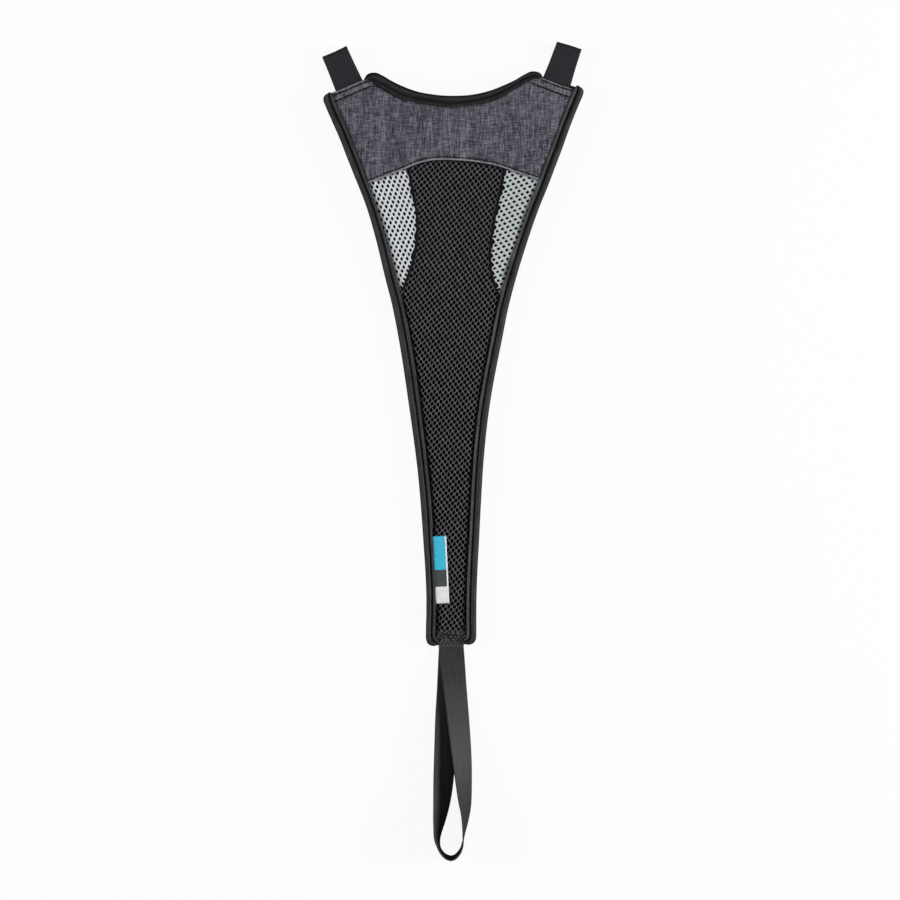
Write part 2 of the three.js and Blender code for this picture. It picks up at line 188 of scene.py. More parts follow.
def under_tape(x, y):
    """1 beneath the bindings and beside their lips, and 0 from 2.2 mm further in."""
    tape_width = left_tape_width if x < 0 else right_tape_width
    from_side = half_width(y) - abs(x) - tape_width(y)
    if abs(x) > neck_tape_reach:
        return 1 - fade(from_side, 0.3, 2.2)
    from_neck = neck_lip_edge(x) - y
    return 1 - fade(min(from_side, from_neck), 0.3, 2.2)


# %% [markdown]
# ## How the guard lies
# The two straps are folded back behind the ears, so the ears lie on them, a few millimetres above the
# table, and the bib comes down to the table below them. Cloth never lies quite as it was cut: each long
# edge of this bib wanders a millimetre or two, its left ear hangs lower and its right ear sits higher. One
# function moves every piece of the bib alike, so that the seams stay closed.

# %% Lift and drift
ear_lift = 3.9
lift_start, lift_end = 118, 234
left_wander = reading(smooth_line([
    (-170, -0.8), (-150, -0.8), (-110, -0.4), (-40, -1.0), (30, -2.1), (80, -1.4), (116, -0.9), (140, -1.1),
    (172, 0.6), (196, 1.2), (222, 0.0), (250, 0.7), (290, 1.3),
]))
right_wander = reading(smooth_line([
    (-170, 0.1), (-150, 0.1), (-104, 0.3), (-40, -0.2), (30, -1.4), (88, -0.5), (112, -0.7), (148, 0.0),
    (190, 0.9), (218, 2.5), (258, 1.2), (290, 2.1),
]))


def lift(y):
    return ear_lift * fade(y, lift_start, lift_end)


def as_it_lies(point):
    """Where a point of the flat pattern comes to lie."""
    x, y, z = point
    to_right = 0.5 + 0.5 * min(max(x / half_width(y), -1), 1)
    wander = left_wander(y) * (1 - to_right) + right_wander(y) * to_right
    right_ear_rises = 1.6 * fade(x, 66, 98)
    left_ear_sags = 1.0 * fade(-x, 12, 40) + 2.9 * fade(-x, 64, 97)
    left_corner_sags = 1.0 * fade(-x, 3, 14)
    at_ears, at_corners = fade(y, 240, 285), fade(-y, 144, 155)
    moved = (right_ear_rises - left_ear_sags) * at_ears - left_corner_sags * at_corners
    return Vector((x + wander, y + moved, z))


# %% [markdown]
# ## Materials: shared tools
# Each finish is a Principled BSDF with procedural nodes. Colours are written as the hex values that a
# picture shows and turned to linear light. One function adds any node with its settings and its links.

# %% Colours and nodes
def linear(hex_colour):
    """An sRGB hex colour as the linear colour that a shader takes."""
    channels = [int(hex_colour[i:i + 2], 16) / 255 for i in (1, 3, 5)]
    return [c / 12.92 if c <= 0.04045 else ((c + 0.055) / 1.055) ** 2.4 for c in channels] + [1.0]


def add_node(tree, kind, inputs=None, shades=None, **settings):
    """Adds a node. Each input is a value, or an output to link from. Shades are a ramp's stops."""
    made = tree.nodes.new(kind)
    for name, value in settings.items():
        setattr(made, name, value)
    for name, value in (inputs or {}).items():
        if isinstance(value, bpy.types.NodeSocket):
            tree.links.new(value, made.inputs[name])
        else:
            made.inputs[name].default_value = value
    if shades:
        ramp = made.color_ramp
        while len(ramp.elements) < len(shades):
            ramp.elements.new(0.5)
        for element, (place, colour) in zip(ramp.elements, shades):
            element.position = place
            element.color = linear(colour)
    return made


def new_material(name, roughness, sheen=0.0, specular=0.3):
    """A material with its node tree and its shader."""
    material = bpy.data.materials.new(name)
    material.use_nodes = True
    tree = material.node_tree
    shader = tree.nodes["Principled BSDF"]
    shader.inputs["Roughness"].default_value = roughness
    shader.inputs["Sheen Weight"].default_value = sheen
    shader.inputs["Sheen Roughness"].default_value = 0.45
    shader.inputs["Specular IOR Level"].default_value = specular
    return material, tree, shader


def spread_noise(tree, place, size, detail=2.0, roughness=0.5, offset=0.0):
    """Noise whose grains are about so many millimetres long along each axis."""
    scaled = add_node(tree, "ShaderNodeMapping", {
        "Vector": place, "Scale": [1 / (length * mm) for length in size], "Location": [offset] * 3,
    })
    return add_node(tree, "ShaderNodeTexNoise", {
        "Vector": scaled.outputs["Vector"], "Scale": 1.0, "Detail": detail, "Roughness": roughness,
    }).outputs["Fac"]


def calculate(tree, operation, a, b=0.0, c=0.0):
    return add_node(tree, "ShaderNodeMath", {0: a, 1: b, 2: c}, operation=operation).outputs["Value"]


def dye(tree, shader, tone, shades):
    """Colours a surface with the shades of a ramp."""
    dyed = add_node(tree, "ShaderNodeValToRGB", {"Fac": tone}, shades)
    tree.links.new(dyed.outputs["Color"], shader.inputs["Base Color"])


def add_relief(tree, shader, height, strength, depth, under=None):
    """Raises fine detail so many millimetres, over other relief if it is given."""
    inputs = {"Height": height, "Strength": strength, "Distance": depth * mm}
    if under:
        inputs["Normal"] = under
    normal = add_node(tree, "ShaderNodeBump", inputs).outputs["Normal"]
    tree.links.new(normal, shader.inputs["Normal"])
    return normal


# %% [markdown]
# ## Modelling tools
# Most pieces of sewn work are strips: tape, webbing, folds and hems. A strip is a grid whose rows follow
# a line and whose columns follow a cross section, so one function sweeps them all. A second function
# turns any finished mesh into a piece of the object.

# %% Sweep a grid along a line
def swept(stations, profile_at, closed=False):
    """A grid along the stations, each with its origin, its direction across and its direction up.
    profile_at gives the section at a distance along, as places across and up."""
    along = distances([origin for origin, _, _ in stations])
    sections = [profile_at(distance) for distance in along]
    rows, columns = len(stations) - 1, len(sections[0]) - 1
    girth = distances([Vector(place) for place in sections[len(sections) // 2]])
    bm = bmesh.new()
    bmesh.ops.create_grid(bm, x_segments=rows, y_segments=columns, size=0.5)
    uv_layer = bm.loops.layers.uv.verify()
    for vert in bm.verts:
        i = round((vert.co.x + 0.5) * rows)
        j = round((vert.co.y + 0.5) * columns)
        for loop in vert.link_loops:
            loop[uv_layer].uv = (along[i] * mm, girth[j] * mm)
        origin, across, up = stations[i]
        a, b = sections[i][j]
        vert.co = origin + across * a + up * b
    if closed:
        bmesh.ops.remove_doubles(bm, verts=bm.verts, dist=0.001)
        bmesh.ops.holes_fill(bm, edges=[edge for edge in bm.edges if edge.is_boundary])
        bmesh.ops.recalc_face_normals(bm, faces=bm.faces)
    else:
        face_up(bm)
    return bm


def face_up(bm):
    """Turns a sheet over if its highest face looks down."""
    bm.normal_update()
    highest = max(bm.faces, key=lambda face: face.calc_center_median().z - 100 * (abs(face.normal.z) < 0.5))
    if highest.normal.z < 0:
        bmesh.ops.reverse_faces(bm, faces=bm.faces)


# %% Finish a piece
def as_piece(name, bm, materials, replaced=(), lies=True):
    """Makes a finished mesh in millimetres a piece of the object in metres."""
    if lies:
        for vert in bm.verts:
            vert.co = as_it_lies(vert.co)
    bmesh.ops.scale(bm, vec=(mm, mm, mm), verts=bm.verts)
    mesh = bpy.data.meshes.new(name)
    bm.to_mesh(mesh)
    bm.free()
    mesh.shade_smooth()
    for material in materials:
        mesh.materials.append(material)
    piece = bpy.data.objects.new(name, mesh)
    bpy.context.scene.collection.objects.link(piece)
    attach(piece, "root")
    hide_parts(*replaced)
    print(f"{name}: {len(mesh.polygons)} faces")
    return piece


def thicken(piece, thickness, offset=-1):
    """Gives a sheet its thickness, by default behind the face that shows."""
    solidify = piece.modifiers.new("thickness", "SOLIDIFY")
    solidify.thickness = thickness * mm
    solidify.offset = offset


def soften(piece):
    """One level of subdivision, the same in the view and in the render."""
    smooth = piece.modifiers.new("smooth", "SUBSURF")
    smooth.levels = 1
    smooth.render_levels = 1


# %% Spread a grid over the bib
def edge_room(y):
    """How far inside the long edge a panel stops: more at the corners, where the tape turns."""
    return 1.6 + 5.5 * fade(-y, -seat_end - 10, -seat_end) + 2.6 * fade(y, 272, 288)


def meet(share, height):
    """Where a line at a share of the width, from -1 to 1, meets an edge that is given as height(x)."""
    y = 250.0
    for _ in range(14):
        y = height(share * (half_width(y) - edge_room(y)))
    return y


def panel(columns, rows, low, high, height, crowding=0.0):
    """A grid spread between the long edges and two lines across them, laid at a height.
    Crowding draws its rows together towards both lines, where a fold needs them."""
    bm = bmesh.new()
    bmesh.ops.create_grid(bm, x_segments=columns, y_segments=rows, size=0.5)
    reach = {}
    for vert in bm.verts:
        share = round(2 * vert.co.x, 6)
        if share not in reach:
            reach[share] = (meet(share, low), meet(share, high))
        bottom, top = reach[share]
        t = vert.co.y + 0.5
        t = crowding * (0.5 - 0.5 * math.cos(math.pi * t)) + (1 - crowding) * t
        y = bottom + (top - bottom) * t
        x = share * (half_width(y) - edge_room(y))
        vert.co = (x, y, height(x, y))
    return bm


# %% [markdown]
# ## The pad
# Wadding fills the bib between its lining and its front. Wadding swells away from the seams that hold it,
# and Blender's cloth solver shows how: the pad is a closed skin, pinned where the seams are, with a little
# pressure inside. The front panels are laid on the result afterwards, so that they share its swell.

# %% Wadding: needled polyester felt, dyed black, rough enough to drink the light
wadding, tree, shader = new_material("needled_polyester_felt", 1.0, specular=0.0)
place = add_node(tree, "ShaderNodeTexCoord").outputs["Object"]
fibres = spread_noise(tree, place, (0.6, 0.6, 0.6), detail=4)
shader.inputs["Base Color"].default_value = linear("#060607")
add_relief(tree, shader, fibres, 0.6, 0.4)

# %% The pad's skin, then its swell
lining_thickness = 0.8
layer_gap = 0.3
pad_thickness = 2.3
pad_bottom = lining_thickness + layer_gap
strap_room = 11
ear_foot = 64
swell_limit = 1.1


def swell(piece, pressure, limit, frames=18):
    """Blows a pinned piece up a little as cloth, and moves its points at most so far."""
    cloth = piece.modifiers.new("cloth", "CLOTH")
    cloth.settings.use_pressure = True
    cloth.settings.uniform_pressure_force = pressure
    cloth.settings.vertex_group_mass = "seams"
    cloth.settings.effector_weights.gravity = 0
    cloth.settings.quality = 4
    cloth.point_cache.frame_end = frames
    for number in range(1, frames + 1):
        bpy.context.scene.frame_set(number)
    blown = piece.evaluated_get(bpy.context.evaluated_depsgraph_get()).data
    moves = [b.co - a.co for a, b in zip(piece.data.vertices, blown.vertices)]
    piece.modifiers.remove(cloth)
    bpy.context.scene.frame_set(1)
    for vert, move in zip(piece.data.vertices, moves):
        if move.length > 0:
            vert.co += move.normalized() * limit * mm * math.tanh(move.length / (limit * mm))


bm = panel(
    30, 74,
    low=lambda x: seat_end + strap_room + 1,
    high=lambda x: top_edge(x) - (strap_room if abs(x) > ear_foot else 3),
    height=lambda x, y: pad_bottom + lift(y),
)
bmesh.ops.recalc_face_normals(bm, faces=bm.faces)
grown = bmesh.ops.extrude_face_region(bm, geom=list(bm.faces))
upper = [item for item in grown["geom"] if isinstance(item, bmesh.types.BMVert)]
bmesh.ops.translate(bm, vec=(0, 0, pad_thickness), verts=upper)
bmesh.ops.recalc_face_normals(bm, faces=bm.faces)
pad = as_piece("wadding_pad", bm, [wadding], ["absorbent_core"])
flat_top = pad_bottom + pad_thickness


def is_sewn(x, y, z):
    """The pad is held by its whole back, and in front along its rim."""
    at_back = z < pad_bottom + 0.1 + lift(y)
    at_side = abs(abs(x) - half_width(y) + edge_room(y)) < 3
    at_end = y < seat_end + strap_room + 3 or y > top_edge(x) - strap_room - 3
    return at_back or at_side or at_end


seams = pad.vertex_groups.new(name="seams")
seams.add([vert.index for vert in pad.data.vertices if is_sewn(*(vert.co / mm))], 1, "ADD")
swell(pad, pressure=6.0, limit=swell_limit)
pad.data.shade_smooth()
pad_places = [vert.co / mm for vert in pad.data.vertices]
pad_surface = BVHTree.FromPolygons(pad_places, [face.vertices[:] for face in pad.data.polygons])
pad_rise = max(place.z - lift(place.y) for place in pad_places) - flat_top
print("The pad rises", round(pad_rise, 2), "mm")

# %% Height of the front over the swollen pad
front_top = 5.6


def front_height(x, y):
    """The height of the front cloth's face: over the pad, and pressed flat where seams cross the bib."""
    laid = as_it_lies((x, y, 0))
    hit = pad_surface.ray_cast(Vector((laid.x, laid.y, 60)), Vector((0, 0, -1)))[0]
    rise = hit.z - flat_top - lift(laid.y) if hit else 0.0
    ears = 0.9 * fade(y, top_edge(x) - 14, top_edge(x) - 7) * fade(abs(x), 62, 70)
    seat = 1.5 * fade(-y, -seat_end - 12, -seat_end - 4)
    tape = 1.7 * under_tape(x, y)
    return front_top + lift(y) + max(rise, 0) - max(ears, seat, tape)


# %% [markdown]
# ## The lining
# The back is a coated cloth that keeps sweat off the bicycle. It lies on the table, lifts with the ears,
# and is drawn up to the straps where the ears are sewn shut. A grid spread over the outline has all it
# needs, with a little unevenness, because coated cloth never lies dead flat.

# %% Lining: polyester taffeta with a polyurethane coat, smooth with a fine weave
lining, tree, shader = new_material("coated_polyester_taffeta", 0.5, sheen=0.05, specular=0.35)
place = add_node(tree, "ShaderNodeTexCoord").outputs["Object"]
cloudy = spread_noise(tree, place, (22, 22, 22), detail=3)
dye(tree, shader, cloudy, [(0.3, "#1b1c1f"), (0.7, "#26272b")])
weave = add_node(tree, "ShaderNodeTexChecker", {"Vector": place, "Scale": 1 / (0.7 * mm)}).outputs["Fac"]
woven = add_relief(tree, shader, weave, 0.25, 0.2)
add_relief(tree, shader, cloudy, 0.35, 2, under=woven)


# %% The lining's sheet
def lining_height(x, y):
    drawn_up = 1.2 * fade(y, top_edge(x) - 14, top_edge(x) - 3) * fade(abs(x), 62, 70)
    uneven = 0.12 * (1 + noise.noise(Vector((x / 26, y / 34, 3))))
    return lift(y) + drawn_up + uneven


bm = panel(
    44, 96,
    low=lambda x: seat_end + 0.3,
    high=lambda x: top_edge(x) - (0.4 if abs(x) > ear_foot else 1.8),
    height=lining_height,
)
bmesh.ops.recalc_face_normals(bm, faces=bm.faces)
if bm.faces[:][0].normal.z > 0:
    bmesh.ops.reverse_faces(bm, faces=bm.faces)
back = as_piece("lining_cloth", bm, [lining], ["back_lining"])
thicken(back, lining_thickness - 0.2)

# %% [markdown]
# ## The yoke
# The yoke is a melange plain weave: its yarns are spun from light and dark fibres, so warp threads show
# as streaks that fade in and out, crossed by fainter weft. Noise stretched a long way along the threads
# gives the streaks, and a fine checker gives the interlacing. Where the cloth is folded over its edge it
# is painted lighter, part scuffing and part painted highlight, and beside the stitches it is painted
# darker as painted shade; an attribute of the sheet tells the material.

# %% Yoke cloth: melange polyester plain weave, matte
heather, tree, shader = new_material("melange_polyester_plain_weave", 0.92, sheen=0.12, specular=0.15)
place = add_node(tree, "ShaderNodeTexCoord").outputs["Object"]
warp = spread_noise(tree, place, (1.1, 12, 9), detail=2.5, roughness=0.55)
slubs = spread_noise(tree, place, (0.9, 5, 9), detail=2, roughness=0.6, offset=5.2)
weft = spread_noise(tree, place, (7, 0.9, 9), detail=2, roughness=0.6, offset=9.1)
bands = spread_noise(tree, place, (7, 60, 9), detail=1, offset=2.4)
threads = add_node(tree, "ShaderNodeTexChecker", {"Vector": place, "Scale": 1 / (1.4 * mm)}).outputs["Fac"]
tone = calculate(tree, "MULTIPLY", warp, 0.31)
tone = calculate(tree, "MULTIPLY_ADD", slubs, 0.26, tone)
tone = calculate(tree, "MULTIPLY_ADD", weft, 0.31, tone)
tone = calculate(tree, "MULTIPLY_ADD", bands, 0.12, tone)
tone = calculate(tree, "MULTIPLY_ADD", threads, 0.045, tone)
# The attribute paints the hem's fold and the ears' rims lighter, part scuffing and part painted highlight,
# and the cloth beside the stitches darker, a painted shade.
scuff_and_painted_light = add_node(tree, "ShaderNodeAttribute", attribute_name="scuff_and_painted_light").outputs["Fac"]
tone = calculate(tree, "MULTIPLY_ADD", scuff_and_painted_light, 0.17, tone)
dye(tree, shader, tone, [
    (0.40, "#211f27"), (0.47, "#3d3b45"), (0.53, "#535159"), (0.60, "#74727b"), (0.80, "#9c9aa2"),
])
ridges = calculate(tree, "MULTIPLY_ADD", threads, 0.5, warp)
add_relief(tree, shader, ridges, 0.5, 0.4)

# %% The yoke's sheet, with its hem turned under and its ears sewn shut
# The hem's stitches run so far above its fold. The two seams of each ear, the left one's first, lie so far
# below the cloth's edge, which slopes, so that distances from it are shorter than heights.
hem_fold = 2.2
ear_seams = {-1: (2.8, 7.4), 1: (2.0, 7.2)}
ear_slope = math.cos(math.atan(ear_fall))


def ear_cloth(x):
    """The yoke's edge on the ears. On the right ear it was sewn lower, towards the outer corner."""
    return ear_line(x) - 2.8 * fade(x, 64, 90)


def bell(distance, width):
    return math.exp(-(distance / width) ** 2)


def ear_relief(x, y):
    """The roll between the two seams of an ear and the grooves that the stitches pull."""
    from_edge = (ear_cloth(x) - y) * ear_slope
    first, second = ear_seams[1 if x > 0 else -1]
    roll = 0.75 * fade(from_edge, first - 0.2, first + 1) * (1 - fade(from_edge, second - 1, second + 0.4))
    grooves = 0.5 * bell(from_edge - first, 0.6) + 0.6 * bell(from_edge - second, 0.7)
    rounding = 0.8 * (1 - fade(from_edge, -0.2, 0.8))
    return (roll - grooves - rounding) * fade(abs(x), 58, 63)


def yoke_height(x, y):
    """Over the pad, thicker where the hem is turned under, and rounded down at the fold itself."""
    from_fold = y - hem_edge(x)
    doubled = 0.65 * (1 - fade(from_fold, 2.4, 5.0))
    stitched = 0.45 * bell(from_fold - hem_fold, 0.6)
    rounding = 1.0 * (1 - math.sqrt(max(1 - max(1 - from_fold / 0.8, 0) ** 2, 0)))
    crease = 0.22 * noise.noise(Vector((x / 17, y / 23, 7))) * fade(from_fold, 3, 12)
    return front_height(x, y) + 0.35 + doubled - stitched - rounding + crease + ear_relief(x, y)


def scuffing_and_painted_light(x, y):
    """Scuffing and painted highlight on folds and rims; below zero, painted shade beside the stitches."""
    at_hem = bell(y - hem_edge(x) - 0.4, 0.75) - 0.5 * bell(y - hem_edge(x) - hem_fold, 0.6)
    from_edge = (ear_cloth(x) - y) * ear_slope
    first, second = ear_seams[1 if x > 0 else -1]
    band = fade(from_edge, first, first + 0.6) * (1 - fade(from_edge, second - 0.8, second))
    rim = bell(from_edge - 0.6, 0.7)
    stitch_shade = bell(from_edge - first, 0.6) + bell(from_edge - second, 0.7)
    return at_hem + (0.15 * band + 0.65 * rim - 0.55 * stitch_shade) * fade(abs(x), 60, 64)


def yoke_top(x):
    """The yoke's upper edge: under the neck tape, and folded over the ears' seams."""
    return min(top_edge(x) - 1.8 * (1 - fade(abs(x), 62, 66)), ear_cloth(x)) - 0.1


bm = panel(120, 110, hem_edge, yoke_top, yoke_height, crowding=0.8)
scuff_and_light_layer = bm.verts.layers.float.new("scuff_and_painted_light")
for vert in bm.verts:
    vert[scuff_and_light_layer] = scuffing_and_painted_light(vert.co.x, vert.co.y)
face_up(bm)
yoke = as_piece("yoke_cloth", bm, [heather], ["yoke_panel"])
thicken(yoke, 0.9)

# %% [markdown]
# ## The open knits
# Air mesh is knitted so that its yarns close round holes that stand in staggered rows. A grid turned by
# 45 degrees has the same plan: each of its squares becomes one hole. Insetting every square leaves the
# yarns between the holes, the yarns' crossings are lifted, the holes' walls are pulled down and one level
# of subdivision rounds it all.

# %% Knit
def crushed(y):
    """1 where the seam at the seat end has crushed the knit."""
    return fade(-y, -seat_end - 13, -seat_end - 8)


def open_knit(name, middle, cells, across, down, turn, slant, hole, belongs, height):
    """A knit round a middle place, its holes across and down apart, turned and slanted in degrees.
    hole gives the opening's width, its length and its lean; belongs says which places the panel covers."""
    bm = bmesh.new()
    bmesh.ops.create_grid(bm, x_segments=cells, y_segments=cells, size=cells / 2)
    bmesh.ops.rotate(bm, verts=bm.verts, matrix=Matrix.Rotation(math.radians(45), 3, "Z"))
    bmesh.ops.scale(bm, vec=(across / math.sqrt(2), down / math.sqrt(2), 1), verts=bm.verts)
    shear = Matrix(((1, math.tan(math.radians(slant)), 0), (0, 1, 0), (0, 0, 1)))
    turned = Matrix.Rotation(math.radians(turn), 3, "Z") @ shear
    for vert in bm.verts:
        vert.co = turned @ vert.co + Vector((*middle, 0))
    outside = [face for face in bm.faces if not belongs(*face.calc_center_median().xy)]
    bmesh.ops.delete(bm, geom=outside, context="FACES")
    chance = random.Random(4)
    crossing = bm.verts.layers.float.new("crossing")
    for vert in bm.verts:
        vert.co += Vector((chance.uniform(-0.15, 0.15), chance.uniform(-0.15, 0.15), 0.55))
    holes = list(bm.faces)
    bmesh.ops.inset_individual(bm, faces=holes, thickness=0.3, depth=0)
    rims = {vert for face in holes for vert in face.verts}
    for vert in bm.verts:
        vert[crossing] = 0.2 if vert in rims else 1.0
    width, length, lean = hole
    for face in holes:
        centre = face.calc_center_median()
        size = chance.uniform(0.92, 1.08) * (1 - 0.75 * crushed(centre.y))
        tilt = Matrix.Rotation(math.radians(-lean), 3, "Z")
        corners = sorted(face.verts, key=lambda v: math.atan2(*(tilt.transposed() @ (v.co - centre)).yx))
        for corner, angle in zip(corners, (-180, -90, 0, 90)):
            around = math.radians(angle)
            spot = Vector((math.cos(around) * width / 2, math.sin(around) * length / 2, 0))
            corner.co = centre + tilt @ spot * size
            corner.co.z = 0.15
    walls = bmesh.ops.extrude_discrete_faces(bm, faces=holes)["faces"]
    for face in walls:
        for vert in face.verts:
            vert.co.z = -0.7
            vert[crossing] = 0.0
    bmesh.ops.delete(bm, geom=walls, context="FACES")
    bmesh.ops.bisect_plane(
        bm, geom=[*bm.verts, *bm.edges, *bm.faces],
        plane_co=(0, seat_end + 0.3, 0), plane_no=(0, -1, 0), clear_outer=True,
    )
    bmesh.ops.recalc_face_normals(bm, faces=bm.faces)
    for vert in bm.verts:
        x, y, _ = vert.co
        vert.co.z += height(x, y)
        # Under the tape and beside the hem the crossings' painted highlight is taken away, a painted shade;
        # where the knit is crushed some lose it at random.
        vert[crossing] *= (1 - under_tape(x, y)) * (1 - 0.8 * crushed(y) * chance.random())
        vert[crossing] *= fade(hem_edge(x) - y, 0.1, 1.7)
    face_up(bm)
    print(name, "has", len(walls), "holes")
    return bm


# %% [markdown]
# The black knit is polyester filament, a little glossy, so its crossings catch the light and the holes
# are as dark as the pad behind them. The two inset knits are the same cloth in pale grey. An attribute
# tells the material where yarns cross and paints them lighter there, a painted highlight, because they lie
# thicker and catch more light. Under the hem and the tape it fades to painted shade.

# %% Yarns: multifilament polyester, with fine twisted filaments
def yarn_material(name, shades, roughness, sheen, specular=0.35):
    material, tree, shader = new_material(name, roughness, sheen, specular)
    place = add_node(tree, "ShaderNodeTexCoord").outputs["Object"]
    uneven = spread_noise(tree, place, (3.0, 3.0, 3.0), detail=3)
    filaments = spread_noise(tree, place, (0.35, 1.2, 0.5), detail=2)
    crossing = add_node(tree, "ShaderNodeAttribute", attribute_name="crossing").outputs["Fac"]
    tone = calculate(tree, "MULTIPLY_ADD", filaments, 0.25, calculate(tree, "MULTIPLY", uneven, 0.25))
    tone = calculate(tree, "MULTIPLY_ADD", crossing, 0.5, tone)
    dye(tree, shader, tone, shades)
    add_relief(tree, shader, filaments, 0.5, 0.3)
    return material


black_yarn = yarn_material("black_polyester_air_mesh", [
    (0.15, "#050506"), (0.45, "#161618"), (0.62, "#2f2e33"), (0.85, "#706f76"),
], roughness=0.6, sheen=0.05)
folded_yarn = yarn_material("folded_black_air_mesh", [
    (0.1, "#050506"), (0.5, "#202023"),
], roughness=0.95, sheen=0.0, specular=0.1)
pale_yarn = yarn_material("pale_polyester_air_mesh", [
    (0.15, "#484b4e"), (0.45, "#9ea1a5"), (0.8, "#e2e4e8"),
], roughness=0.8, sheen=0.05)
grey_yarn = yarn_material("grey_polyester_air_mesh", [
    (0.15, "#484d4e"), (0.45, "#999fa0"), (0.8, "#c7cdcd"),
], roughness=0.8, sheen=0.05)

# %% Edges of the insets
left_inset = smooth_line([
    (-38.4, 238), (-33.6, 208.5), (-29.4, 183), (-30.2, 158), (-34.0, 142), (-39.4, 127), (-50, 101),
])
right_inset = smooth_line([
    (44.0, 238), (37.6, 202), (32.6, 170), (32.4, 147), (38.6, 125), (49, 98),
])
seam_gap = 0.2
fold_room = 1.2


def inset_edge_x(line, y):
    """Where an inset's curved edge, which runs down, passes a height."""
    for a, b in zip(line, line[1:]):
        if y >= b.y:
            return a.x + (b.x - a.x) * min(max((a.y - y) / (a.y - b.y), 0), 1)
    return line[-1].x * 10


def in_bib(x, y, room=2.2):
    """Whether knit lies at a place. It runs on a little under the hem, which covers its edge."""
    beneath_hem = seat_end - 3 < y < hem_edge(x) + 3.2
    return beneath_hem and abs(x) < half_width(y) - max(room, edge_room(y) - 2)


def in_left(x, y):
    return in_bib(x, y) and x < inset_edge_x(left_inset, y) - seam_gap


def in_right(x, y):
    return in_bib(x, y) and x > inset_edge_x(right_inset, y) + seam_gap


def in_centre(x, y):
    beside_left = x > inset_edge_x(left_inset, y) + fold_room
    beside_right = x < inset_edge_x(right_inset, y) - fold_room
    return in_bib(x, y) and beside_left and beside_right


def knit_height(x, y):
    """Over the pad, and pressed down where the yoke's hem covers the knit."""
    return front_height(x, y) - 0.6 - 0.9 * fade(y, hem_edge(x) - 0.8, hem_edge(x) + 0.8)


# %% The three knit panels
bm = open_knit("centre_knit", (0, 38), 108, 4.4, 5.0, -6, 4, (3.5, 4.55, 18), in_centre, knit_height)
centre_knit = as_piece("centre_knit", bm, [black_yarn], ["centre_mesh"])
soften(centre_knit)

bm = open_knit("left_knit", (-50, 175), 40, 4.25, 6.5, 3.5, -12.5, (3.4, 4.75, -26), in_left, knit_height)
left_knit = as_piece("left_inset_knit", bm, [pale_yarn], ["inset_mesh_left"])
soften(left_knit)

bm = open_knit("right_knit", (50, 175), 40, 6.7, 4.55, -9, 12.7, (3.0, 3.9, 58), in_right, knit_height)
right_knit = as_piece("right_inset_knit", bm, [grey_yarn], ["inset_mesh_right"])
soften(right_knit)

# %% [markdown]
# ## Folded edges beside the insets
# Where the black knit meets an inset, its edge is folded under and sewn down, so a smooth strip runs
# along the seam. It is a sweep along the inset's curve with a flat, rounded section.

# %% Strips along the seams
def stations_on(line, height, side=1):
    """Stations for a sweep that lies flat on the bib: across points to the line's left, or right for -1."""
    return [
        (Vector((*point, height(*point))), Vector((*left_of(line, i), 0)) * side, Vector((0, 0, 1)))
        for i, point in enumerate(line)
    ]


def cut_off(line, keeps):
    return [point for point in line if keeps(*point)]


fold_section = [
    (-0.4, -0.9), (-0.2, -0.1), (0.2, 0.25), (0.8, 0.4), (1.4, 0.3), (1.9, 0.32), (2.3, 0.1), (2.5, -0.7),
]
for name, line, side in (("left", left_inset, 1), ("right", right_inset, -1)):
    shown = cut_off(even_line(line, 1.2), lambda x, y: in_bib(x, y, 2) and y < hem_edge(x) + 2)
    stations = stations_on(shown, lambda x, y: knit_height(x, y) + 0.35, side)

    def uneven_fold(distance):
        """The section, wandering a little sideways and up and down along the seam."""
        aside = 0.25 * noise.noise(Vector((distance / 7, 0, 1)))
        return [(a + aside, b + 0.12 * noise.noise(Vector((distance / 4, a, 5)))) for a, b in fold_section]

    bm = swept(stations, uneven_fold)
    strip = as_piece(f"{name}_seam_fold", bm, [folded_yarn])
    thicken(strip, 0.4)

# %% [markdown]
# ## The bindings
# A binding is tape folded over the raw edge and sewn through both faces at once. Its outer part rolls up
# round the edge, the stitches pull a groove, and inside the groove a narrow lip stands up. The section is
# drawn once and swept between the bib's edge and the lip's line, and the tape's thickness is added last.

# %% Tape: knitted polyester, with painted highlight where it stands proud and painted shade in its groove and round its edge
# The section is so long from lip to lip, and the painted highlights and shades are placed along it, from 0 to
# 1
tape_girth = 25.2


def tape_material(name, dyes, painted_tape_light):
    material, tree, shader = new_material(name, 0.6, specular=0.2)
    place = add_node(tree, "ShaderNodeTexCoord").outputs["UV"]
    ribs = spread_noise(tree, place, (9, 0.6, 1), detail=3)
    patches = spread_noise(tree, place, (14, 4, 1), detail=2)
    tone = calculate(tree, "MULTIPLY_ADD", ribs, 0.4, calculate(tree, "MULTIPLY", patches, 0.6))
    dyed = add_node(tree, "ShaderNodeValToRGB", {"Fac": tone}, dyes)
    # Along the section the colour is multiplied by painted light: painted highlight on the lip and the roll,
    # painted shade in the groove, at the lip's foot and round the outer edge.
    round_the_edge = add_node(tree, "ShaderNodeSeparateXYZ", {"Vector": place}).outputs["Y"]
    round_the_edge = calculate(tree, "DIVIDE", round_the_edge, tape_girth * mm)
    painted_tape_shading = add_node(tree, "ShaderNodeValToRGB", {"Fac": round_the_edge}, painted_tape_light)
    # A mix node has the same names for its sockets of each kind, so its colours' sockets go by number
    shaded_tape = add_node(tree, "ShaderNodeMix", {
        "Factor": 1.0, 6: dyed.outputs["Color"], 7: painted_tape_shading.outputs["Color"],
    }, data_type="RGBA", blend_type="MULTIPLY")
    tree.links.new(shaded_tape.outputs[2], shader.inputs["Base Color"])
    add_relief(tree, shader, ribs, 0.4, 0.3)
    return material


